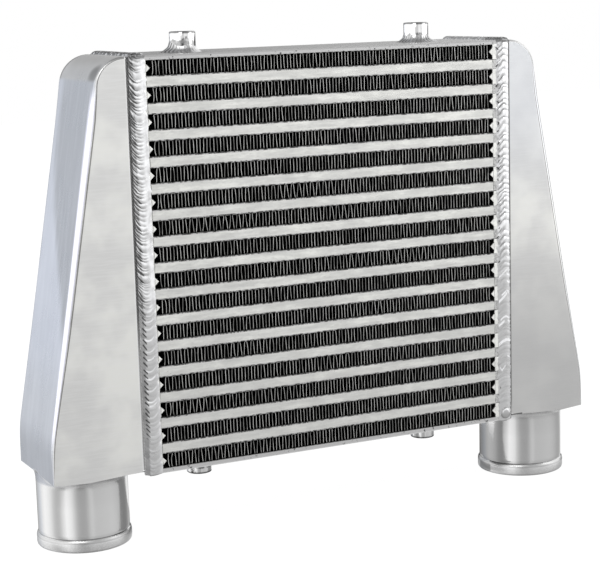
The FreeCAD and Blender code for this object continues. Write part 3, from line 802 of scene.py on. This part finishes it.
MARK_RUN, MARK_REACH, MARK_MARGIN = 150, 8.0, 0.05
# The round end of the right weld.
BALL_RISE, BALL_W, BALL_RADIUS = 5.2, -1.2, 4.1


def left_bead(rise, run, v):
    """Height over the plain bead, painted shade and tone with painted highlights at v across it,
    from -1 at the core to 1.
    """
    lower = fade(rise, *LEFT_BLEND)
    bow = run - (5.8 if v > 0.0 else 3.0) * v * v
    bow += 0.5 * waver(run / 2.1, 2.0 * v, 6.0)
    part, size, tone, _ = LEFT_COARSE.at(bow)
    crest = sin(pi * part) ** 0.7
    toward_tank = smoothstep(v, -0.65, 0.45)
    height = 0.42 * size * crest * (0.25 + 0.75 * toward_tank) * (1 - 0.6 * lower)

    # Above, sharp crescents of painted shade that grow darker towards the tank, with painted sheen
    # between them.
    start = 0.50 - 0.70 * size ** 3
    width = 0.12 + (0.12 + 0.24 * size) * smoothstep(v, 0.0, 0.7)
    dark = (0.55 + 0.8 * size) * line_at(part, width) * smoothstep(v, start, start + 0.35)
    dark = max(dark, 0.30 * size * line_at(part, 0.26) * toward_tank)
    fine = LEFT_FINE.at(bow + 1.4 * v)
    dark = max(dark, 0.95 * fine[1] * line_at(fine[0], 0.36) * smoothstep(v, 0.30, 0.75))
    sheen = smoothstep(part, 0.25, 0.8) * (0.5 + 0.5 * tone)
    level = 0.78 + (0.38 + 0.62 * sheen - 0.78) * smoothstep(v, -0.50, 0.10)
    level += 0.45 * waver(run / 6.0, 2.0 * v, 5.0)

    # Below, smooth arcs with a painted shine, and slanted strokes of painted shadow beside the
    # tank.
    arc = LEFT_ARCS.at(run - 5.0 * (v - 0.05) ** 2)
    shine = fade(abs(arc[0] * arc[3] - 0.7), 0.25, 0.7 + 0.5 * arc[1])
    shine *= fade(abs(v + 0.05), 0.45, 0.80) * (0.5 + 0.5 * arc[1])
    shine *= smoothstep(rise, 22.0, 55.0)
    hatch_shadow = LEFT_HATCH.at(run - 7.0 * (v - 0.75))
    mark = fade(min(hatch_shadow[0], 1 - hatch_shadow[0]), 0.08, 0.24)
    mark *= mask(v, 0.22, 0.32, 0.66, 0.78) * smoothstep(rise, 18.0, 32.0) * (0.8 + 0.2 * hatch_shadow[1])
    low_dark = max(0.22 * line_at(part, 0.3) * size, mark, 0.26 * smoothstep(v, 0.30, 0.55))
    low_level = 0.18 + 0.30 * arc[2] * smoothstep(arc[0], 0.2, 1.0) + 0.9 * shine
    low_level += 0.35 * smoothstep(-v, 0.55, 0.9)

    groove_shade = dark + (low_dark - dark) * lower
    level += (low_level - level) * lower
    # Painted shadow along the toe at the tank, and darker at the top end.
    hook = 0.5 + 0.5 * line_at(fine[0], 0.45)
    groove_shade = max(groove_shade, (0.85 - 0.35 * lower) * hook * smoothstep(v, 0.80, 0.95))
    groove_shade = max(groove_shade, 0.6 * smoothstep(rise, STACK - LEFT_END, STACK - 1.0))
    return height, groove_shade, level


def right_bead(rise, run, v):
    """The same for the other side: slanted strokes of painted highlight and shade above, low arcs
    and painted highlight marks below.
    """
    lower = fade(rise, *RIGHT_BLEND)
    past = v + 0.04
    bent = 5.8 * v - 3.8 * (past + sqrt(past * past + 0.02))
    wander = 1.1 * waver(run / 3.6, 0.9 * v, 4.0)
    part, size, tone, _ = RIGHT_BRAID.at(run - bent + wander)
    fine = RIGHT_ARCS.at(run - 6.4 * v + 0.8 * waver(run / 2.3, 2.0 * v, 2.0))
    crest = sin(pi * part) ** 0.8
    strand = mask(v, -0.85, -0.55, -0.10, 0.25)
    band = mask(v, 0.2, 0.5, 0.80, 0.93)
    outer = mask(v, -0.98, -0.85, -0.55, -0.20)
    height = (0.20 + 0.35 * strand) * crest * (0.5 + 0.7 * size) * (1 - 0.8 * lower)
    dark = ((0.08 + 0.72 * size * size) * strand + 0.16 * band * size) * line_at(part, 0.20)
    dark = max(dark, 1.15 * fine[1] * fine[2] * line_at(fine[0], 0.24) * outer)
    highlight_stroke = fade(abs(part - 0.55), 0.10, 0.28) * strand * (0.5 + 0.5 * tone)
    level = 0.50 + 0.50 * highlight_stroke + (0.26 + 0.30 * part * tone) * band
    level += 0.45 * waver(run / 4.0, 2.0 * v, 9.0)
    level += 0.40 * outer * smoothstep(fine[0], 0.2, 0.7) * fine[2]

    arc = RIGHT_ARCS.at(run + 2.0 * (v - 0.15) ** 2)
    low_dark = 0.22 * line_at(arc[0], 0.3) * arc[1]
    low_level = 0.24 + 0.22 * arc[2] * smoothstep(arc[0], 0.2, 1.0)
    for mark_rise, v_from, v_to, slope, curve, width in RIGHT_HIGHLIGHT_MARKS:
        across = v_from - MARK_MARGIN < v < v_to + MARK_MARGIN
        if run < MARK_RUN and abs(rise - mark_rise) < MARK_REACH and across:
            away = rise - mark_rise - slope * (v - v_from) - curve * (v - v_from) ** 2
            shown = fade(abs(away), 0.35 * width, 0.75 * width)
            low_level += shown * (1.0 - 0.3 * (v > 0.3))

    groove_shade = dark + (low_dark - dark) * lower
    level += (low_level - level) * lower
    # Painted shadow in dashes along the toe at the tank, dark nicks near the core's toe, and darker
    # at the top end.
    dashed_shadow = 0.9 if rise > DASHES_TO or waver(run / 2.6, 3.0) > 0.05 else 0.30
    groove_shade = max(groove_shade, dashed_shadow * smoothstep(v, 0.88, 0.93))
    nick = max(0.0, waver(run / 3.0, 8.0) - 0.10) * (4.5 - 3.4 * lower)
    off_nick = abs(v + 0.82 - 0.12 * sin(1.3 * run))
    groove_shade = max(groove_shade, min(1.0, nick) * fade(off_nick, 0.04, 0.14))
    groove_shade = max(groove_shade, 0.6 * smoothstep(rise, STACK - RIGHT_END, STACK - 0.5))
    return height, groove_shade, level


def top_rope(side, y, run, v):
    """Height, painted shade in its gaps and tone of the rope of weld over the top, with painted
    bright specks.
    """
    rope = ROPE.at(run + 1.5 * v)
    groove_shade = max(0.50, 0.95 * line_at(rope[0], 0.35))
    if side > 0:
        groove_shade *= 1 - 0.55 * smoothstep(y, -25.0, -19.0)
    glint_speck = waver(run * 1.1, 3.0 * v, side * 7.0)
    groove_shade *= fade(glint_speck, 0.15, 0.35)
    tone = 0.1 + 0.3 * rope[2] + 0.6 * smoothstep(glint_speck, 0.2, 0.4)
    return 0.4 + 0.8 * sin(pi * rope[0]), groove_shade, tone


LOW_TOE, LOW_TOE_BLEND = 0.5, (60.0, 110.0)
DOME, DOME_FOOT = 1.05, 0.12
WELD_LIMIT, ROPE_LIMIT = 1.6, 2.3


def seam_weld(name, side, core_toe, tank_toe, bead, material):
    bm = bmesh.new()
    groove_layer = bm.verts.layers.float.new("groove_shade")
    tone_layer = bm.verts.layers.float.new("tone")
    lines = []
    for (y, z), turn, rise, run, edge_name in weld_path():
        out = (cos(turn), sin(turn))
        wander = waver(run / 9.0, side * 5.0, len(edge_name))
        slow = waver(run / 31.0, side * 9.0, len(edge_name))
        low_toe = LOW_TOE if side < 0 else 0.0
        toe = tank_toe + low_toe * fade(rise, *LOW_TOE_BLEND)
        middle, half = (core_toe + toe) / 2, (toe - core_toe) / 2
        toe_height = -BEVEL_DEPTH * (1 - toe / BEVEL_WIDTH)
        downward = max(0.0, -out[1])
        on_top = edge_name == "top"
        line = []
        for i in range(WELD_POINTS):
            v = -1 + 2 * i / (WELD_POINTS - 1)
            if on_top:
                ripple, groove_shade, tone = top_rope(side, y, run, v)
            else:
                ripple, groove_shade, tone = bead(rise, run + 1.1 * wander, v)
            ragged = 0.35 * wander + 0.25 * slow
            if v < 0:
                ragged += 1.3 * waver(run / 3.5, side * 3.0)
            w = min(middle + v * (half + ragged * abs(v) ** 3), toe + 0.2)
            toward_toe = w / toe
            base = toe_height * max(0.0, toward_toe)
            base -= downward * FLOOR_LIFT * min(1.0, max(0.0, toward_toe))
            dome = max(0.0, 1 - abs(v) ** (1.7 if v < 0 else 2.4))
            h = base + DOME_FOOT + DOME * dome + (ripple - 0.25) * min(1.0, 2 * dome)
            h += 0.10 * slow * dome
            # The round end of the right weld, with a painted highlight crescent and painted shade
            # round its edge.
            away = hypot(rise - BALL_RISE, w - BALL_W) / BALL_RADIUS
            if side > 0 and edge_name == "front" and away < 1:
                h = 0.7 + 0.9 * sqrt(1 - away * away)
                crescent_highlight = mask(away, 0.55, 0.70, 0.75, 0.9)
                tone = 0.12 + 0.85 * crescent_highlight * smoothstep(rise - BALL_RISE, -0.5, 1.5)
                groove_shade = 0.18 + 0.4 * smoothstep(away, 0.85, 1.0)
            h = min(ROPE_LIMIT if on_top else WELD_LIMIT, h)
            depth = max(-HALF_DEPTH - WELD_LIMIT, min(HALF_DEPTH + WELD_LIMIT, y + out[0] * h))
            vert = bm.verts.new((side * (RIM_X + w), depth, z + out[1] * h))
            vert[groove_layer] = min(1.0, groove_shade)
            vert[tone_layer] = min(1.0, max(0.0, tone))
            line.append(vert)
        for w, h in ((toe, toe_height - 0.4 - downward * FLOOR_LIFT), (0.0, -BEVEL_DEPTH - 0.2),
                     (core_toe, -0.3)):
            line.append(bm.verts.new((side * (RIM_X + w), y + out[0] * h, z + out[1] * h)))
        lines.append(line)
    bridge(bm, lines, closed_across=True, closed_along=True)
    piece("beaded_" + name, bm, material, name, 80.0)


# ---- Bosses and their welds ----

BOSS_SEGMENTS, BOSS_WELD_SEGMENTS, BOSS_WELD_STEPS = 64, 150, 8
THREAD_PITCH = 1.2


def boss_profile():
    """Radius and height from the foot, over the rounded rim and down the threaded hole."""
    profile = [(0.05, 0.0), (BOSS_RADIUS, 0.0), (BOSS_RADIUS, BOSS_HEIGHT - 0.7),
               (BOSS_RADIUS - 0.2, BOSS_HEIGHT - 0.25), (BOSS_RADIUS - 0.6, BOSS_HEIGHT),
               (BOSS_HOLE_RADIUS + 1.0, BOSS_HEIGHT), (BOSS_HOLE_RADIUS + 0.4, BOSS_HEIGHT - 0.5)]
    height = BOSS_HEIGHT - 1.0
    while height > BOSS_HEIGHT - BOSS_HOLE_DEPTH:
        profile += [(BOSS_HOLE_RADIUS + 0.35, height),
                    (BOSS_HOLE_RADIUS - 0.1, height - THREAD_PITCH / 2)]
        height -= THREAD_PITCH
    return profile + [(BOSS_HOLE_RADIUS - 0.2, BOSS_HEIGHT - BOSS_HOLE_DEPTH),
                      (0.05, BOSS_HEIGHT - BOSS_HOLE_DEPTH - 1)]


def mounting_bosses(material):
    bm = bmesh.new()
    for x, z, flip in BOSSES:
        rows = []
        for radius, height in boss_profile():
            ring = []
            for i in range(BOSS_SEGMENTS):
                angle = 2 * pi * i / BOSS_SEGMENTS
                ring.append((x + radius * cos(angle), radius * sin(angle), z + flip * height))
            rows.append(ring)
        skin(bm, rows, closed_across=True)
    piece("turned_bosses", bm, material, "mounting_bosses", 30.0)


# Where a boss weld on top is larger: boss, bearing in degrees, more width, more height, darkness of
# its painted shade.
BOSS_WELD_SWELLS = [(-1, 160.0, 4.4, 4.6, 1.3), (-1, -100.0, 0.5, 1.5, 0.0),
                    (1, 154.0, 1.8, 2.0, 0.9), (1, -26.0, 4.4, 1.6, 0.9),
                    (1, -110.0, 0.5, 1.8, 0.0)]
BOSS_RIPPLES, BOSS_RIPPLE_SWEEP = 13, 1.4


def boss_welds(material):
    bm = bmesh.new()
    groove_shade = bm.verts.layers.float.new("groove_shade")
    tone = bm.verts.layers.float.new("tone")
    for x, z, flip in BOSSES:
        rows = []
        for i in range(BOSS_WELD_SEGMENTS):
            angle = 2 * pi * i / BOSS_WELD_SEGMENTS
            east, north = cos(angle), sin(angle)
            leg_out = leg_up = BOSS_LEG * (1 + 0.35 * waver(2 * east + x, 2 * north, z / 50))
            hatched = 0.0
            for boss_side, toward, wider, higher, marks in BOSS_WELD_SWELLS:
                if flip > 0 and boss_side * x > 0:
                    lobe = max(0.0, cos(angle - radians(toward))) ** 3
                    leg_out += wider * lobe
                    leg_up += higher * lobe
                    hatched += marks * lobe
            line = []
            for k in range(BOSS_WELD_STEPS + 1):
                part = k / BOSS_WELD_STEPS
                arch = sin(pi * part)
                crest = abs(sin(angle * BOSS_RIPPLES + BOSS_RIPPLE_SWEEP * arch)) ** 0.6
                reach = leg_out * (1 - part) + 0.15 * (crest - 0.6)
                rise = leg_up * (1 - sqrt(max(0.0, 1 - part * part)))
                bulge = 0.50 * arch * (1 + 0.3 * crest)
                radius = BOSS_RADIUS
                if part < 1:
                    radius += max(-0.1, reach + 0.7 * bulge)
                height = min(leg_up, rise + 0.7 * bulge)
                vert = bm.verts.new((x + radius * east, radius * north, z + flip * height))
                # Painted shade in the troughs, deeper where the weld swells, and a painted
                # highlight on the crests.
                vert[groove_shade] = min(1.0, 0.27 + 0.14 * (1 - crest) + hatched * (1 - crest))
                vert[tone] = 0.05 + 0.25 * crest
                line.append(vert)
            inside = BOSS_RADIUS - 0.3
            line.append(bm.verts.new((x + inside * east, inside * north, z - flip * 0.2)))
            rows.append(line)
        bridge(bm, rows, closed_across=True, closed_along=True)
    piece("beaded_boss_welds", bm, material, "boss_welds", 80.0)


# ---- Camera, light and floor ----

LENS, SENSOR, CLIP_START = 101.5, 36.0, 0.01
CAMERA_PLACE = (-0.53024, -1.09022, 0.37022)
CAMERA_RIGHT = Vector((0.89935507, -0.43630141, -0.02831161))
CAMERA_UP = Vector((0.09987455, 0.14196801, 0.98481986))
CAMERA_AHEAD = Vector((0.42565895, 0.88853034, -0.17125506))


def place_camera():
    data = bpy.data.cameras.new("camera")
    data.lens = LENS
    data.sensor_width = SENSOR
    data.sensor_fit = "HORIZONTAL"
    data.clip_start = CLIP_START
    camera = add_object("camera", data)
    turn = Matrix((CAMERA_RIGHT, CAMERA_UP, -CAMERA_AHEAD)).transposed().to_4x4()
    camera.matrix_world = Matrix.Translation(CAMERA_PLACE) @ turn
    bpy.context.scene.camera = camera


# Brightness of the studio round the object, by direction in degrees from the front towards +X.
STUDIO = [(-180, 0.50), (-164, 0.60), (-150, 0.80), (-140, 0.96), (-130, 1.08), (-118, 1.02),
          (-107, 0.88), (-97, 0.64), (-88, 0.55), (-80, 0.60), (-71, 0.82), (-63, 1.08),
          (-55, 1.03), (-47, 0.90), (-40, 0.68), (-32, 0.48), (-24, 0.44), (-15, 0.44),
          (-9, 0.46), (-3, 0.62), (4, 0.70), (11, 0.59), (58, 0.64), (71, 0.61), (82, 0.56),
          (95, 0.48), (110, 0.46), (122, 0.60), (135, 1.0), (150, 0.62), (163, 0.40), (180, 0.38)]
COOL_FROM, COOL_TO, COOL = -178, -148, 0.03
HEIGHTS = [(-90, 0.40), (-60, 0.62), (-35, 0.88), (-15, 1.0), (-2, 1.42), (10, 1.5), (35, 1.2),
           (60, 0.8), (90, 0.6)]
# Soft windows on both sides, over the horizon: bearing from the front and height, in degrees.
WINDOW_FROM, WINDOW_TO, WINDOW_SOFT = 52, 146, 9
WINDOW_LOW, WINDOW_HIGH, WINDOW_LEVEL, WINDOW_COVER = (-12, -4), (30, 50), 0.45, 0.8
# Dark cards at the height of the horizon: bearings, heights and brightness.
CARDS = [(106, 179, -10, 6, 0.04), (-30, -12, -9, 9, 0.10)]
CARD_SOFT, CARD_HEIGHT_SOFT = 3, 1
# The mirrored studio is written at half of its strength, so that no colour in it passes 1.
MIRRORED_STRENGTH, SOFT_STRENGTH = 2.0, 0.75


def light_world():
    nodes = Nodes(bpy.data.worlds.new("studio"))
    bpy.context.scene.world = nodes.owner
    x, y, z = nodes.axes(nodes.add("TexCoord").outputs["Generated"])
    bearing = nodes.math("ARCTAN2", x, nodes.math("MULTIPLY", y, -1.0))
    elevation = nodes.math("ARCSINE", z)
    stops = []
    for degrees, level in STUDIO:
        cool = COOL if COOL_FROM < degrees < COOL_TO else 0.0
        colour = (level * (1 - cool), level, level * (1 + 1.6 * cool), 1)
        stops.append(((degrees + 180) / 360, colour))
    around = nodes.ramp(nodes.math("MULTIPLY_ADD", bearing, 1 / (2 * pi), 0.5), stops)
    upwards = nodes.ramp(nodes.math("MULTIPLY_ADD", elevation, 1 / pi, 0.5),
                         [((degrees + 90) / 180, grey(level / 2)) for degrees, level in HEIGHTS])
    studio = nodes.mix(1.0, around, upwards, "MULTIPLY")

    signed = nodes.times(bearing, 180 / pi)
    degrees = nodes.size(signed)
    height = nodes.times(elevation, 180 / pi)

    def border(source, place, soft):
        return nodes.step(source, place - soft, place + soft)

    studio = nodes.over(studio, (grey(WINDOW_LEVEL * 2), border(degrees, WINDOW_FROM, WINDOW_SOFT),
                                 border(degrees, WINDOW_TO, -WINDOW_SOFT),
                                 nodes.step(height, *WINDOW_LOW),
                                 nodes.step(height, *WINDOW_HIGH[::-1]), WINDOW_COVER))
    for start, end, bottom, top, level in CARDS:
        studio = nodes.over(studio, (grey(level / 2), border(signed, start, CARD_SOFT),
                                     border(signed, end, -CARD_SOFT),
                                     border(height, bottom, CARD_HEIGHT_SOFT),
                                     border(height, top, -CARD_HEIGHT_SOFT)))

    path = nodes.add("LightPath").outputs
    mirrored = nodes.math("MAXIMUM", path["Is Glossy Ray"], path["Is Transmission Ray"])
    glossy, soft, white = [
        nodes.add("Background", {"Color": colour, "Strength": strength}).outputs[0]
        for colour, strength in ((studio, MIRRORED_STRENGTH), (grey(1.0), SOFT_STRENGTH),
                                 (grey(1.0), 1.0))]
    mixed = nodes.add("MixShader", {0: mirrored, 1: soft, 2: glossy}).outputs[0]
    shown = nodes.add("MixShader", {0: path["Is Camera Ray"], 1: mixed, 2: white})
    nodes.add("OutputWorld", {"Surface": shown.outputs[0]})


LAMP_TARGET, LAMP_SIDE = (0, 0, 0.15), 1.0
LAMPS = [("key", (-1.1, -1.3, 1.5), 14.0), ("fill", (1.4, -1.0, 1.0), 6.0)]


def area_light(name, place, power):
    data = bpy.data.lights.new(name, "AREA")
    data.shape = "RECTANGLE"
    data.size = data.size_y = LAMP_SIDE
    data.energy = power
    lamp = add_object(name, data)
    lamp.location = place
    towards = Vector(LAMP_TARGET) - Vector(place)
    lamp.rotation_euler = towards.to_track_quat("-Z", "Y").to_euler()


def stage_item(name, bm):
    """Object beside the model with a new material, and that material's nodes."""
    nodes = Nodes(bpy.data.materials.new(name))
    return mesh_object(name, bm, nodes.owner), nodes


FLOOR_HALF, FLOOR_Z = 4.0, -0.0002
FLOOR_LIT, FLOOR_FAINT, FLOOR_GLOW = 0.85, 0.16, 0.93
SHADE_Z, SHADE_LEVEL, SHADE_CLEAR = 0.0005, 0.02, 0.5
SHADE_PATCHES = ((-RIM_X, RIM_X, -33.0, 42.0), (35.0, 165.0, 42.0, 150.0))


def lay_floor():
    """A floor that looks white and still shows the shadow."""
    bm = bmesh.new()
    bmesh.ops.create_grid(bm, x_segments=1, y_segments=1, size=FLOOR_HALF)
    floor, nodes = stage_item("floor", bm)
    floor.location = (0, 0, FLOOR_Z)
    lit = nodes.add("BsdfDiffuse", {"Color": grey(FLOOR_LIT)}).outputs[0]
    faint = nodes.add("BsdfDiffuse", {"Color": grey(FLOOR_FAINT)}).outputs[0]
    plain = nodes.add("Emission", {"Color": grey(FLOOR_GLOW)}).outputs[0]
    both = nodes.add("AddShader", {0: faint, 1: plain}).outputs[0]
    path = nodes.add("LightPath").outputs
    shown = nodes.add("MixShader", {0: path["Is Camera Ray"], 1: lit, 2: both})
    nodes.add("OutputMaterial", {"Surface": shown.outputs[0]})
    floor.visible_glossy = False


def lay_shade():
    """A painted shadow of the core on the floor, which only the polished necks mirror."""
    bm = bmesh.new()
    for low, high, front, rear in SHADE_PATCHES:
        corners = ((low, front), (high, front), (high, rear), (low, rear))
        bm.faces.new([bm.verts.new((x * MM, y * MM, SHADE_Z)) for x, y in corners])
    shade, nodes = stage_item("floor_shade", bm)
    dark = nodes.add("Emission", {"Color": grey(SHADE_LEVEL)}).outputs[0]
    clear = nodes.add("BsdfTransparent").outputs[0]
    half = nodes.add("MixShader", {0: SHADE_CLEAR, 1: dark, 2: clear})
    nodes.add("OutputMaterial", {"Surface": half.outputs[0]})
    for kind in ("camera", "diffuse", "shadow", "transmission"):
        setattr(shade, "visible_" + kind, False)


# ---- Making ----

def dress(node, material, width):
    """Gives a node of the solids its material and slightly broken edges."""
    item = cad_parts[node]
    item.data.materials.clear()
    item.data.materials.append(material)
    if width:
        bevel = item.modifiers.new("edges", "BEVEL")
        bevel.width = width * MM
        bevel.segments = 2
        bevel.limit_method = "ANGLE"


place_camera()
light_world()
for lamp_name, lamp_place, lamp_power in LAMPS:
    area_light(lamp_name, lamp_place, lamp_power)
lay_floor()
lay_shade()

bars = bar_material("core_bar", 1.0, 0.0)
noses = bar_material("nose_bar", 0.0, 0.13)
plates = plate_material()
sheets = sheet_material()
fins = fin_material()
tanks = tank_material()
welds = weld_material()
bosses = boss_material()

for node_name in ("front_long_bars", "rear_long_bars"):
    dress(node_name, bars, 0.35)
for node_name in ("left_nose_bars", "right_nose_bars"):
    dress(node_name, noses, 0.2)
for node_name in ("top_end_plate", "bottom_end_plate"):
    dress(node_name, plates, 0.3)
dress("parting_sheets", sheets, 0.0)
for number in range(1, AIR_ROWS):
    dress(f"charge_fin_{number:02d}", bars, 0.0)
for number in range(AIR_ROWS):
    fin_strip(number, fins)
end_tank("right_tank", 1, tanks)
end_tank("left_tank", -1, tanks)
seam_weld("left_seam_weld", -1, -9.2, 2.8, left_bead, welds)
seam_weld("right_seam_weld", 1, -7.0, 4.1, right_bead, welds)
mounting_bosses(bosses)
boss_welds(welds)

bpy.context.scene.view_settings.view_transform = "Standard"
bpy.context.view_layer.update()
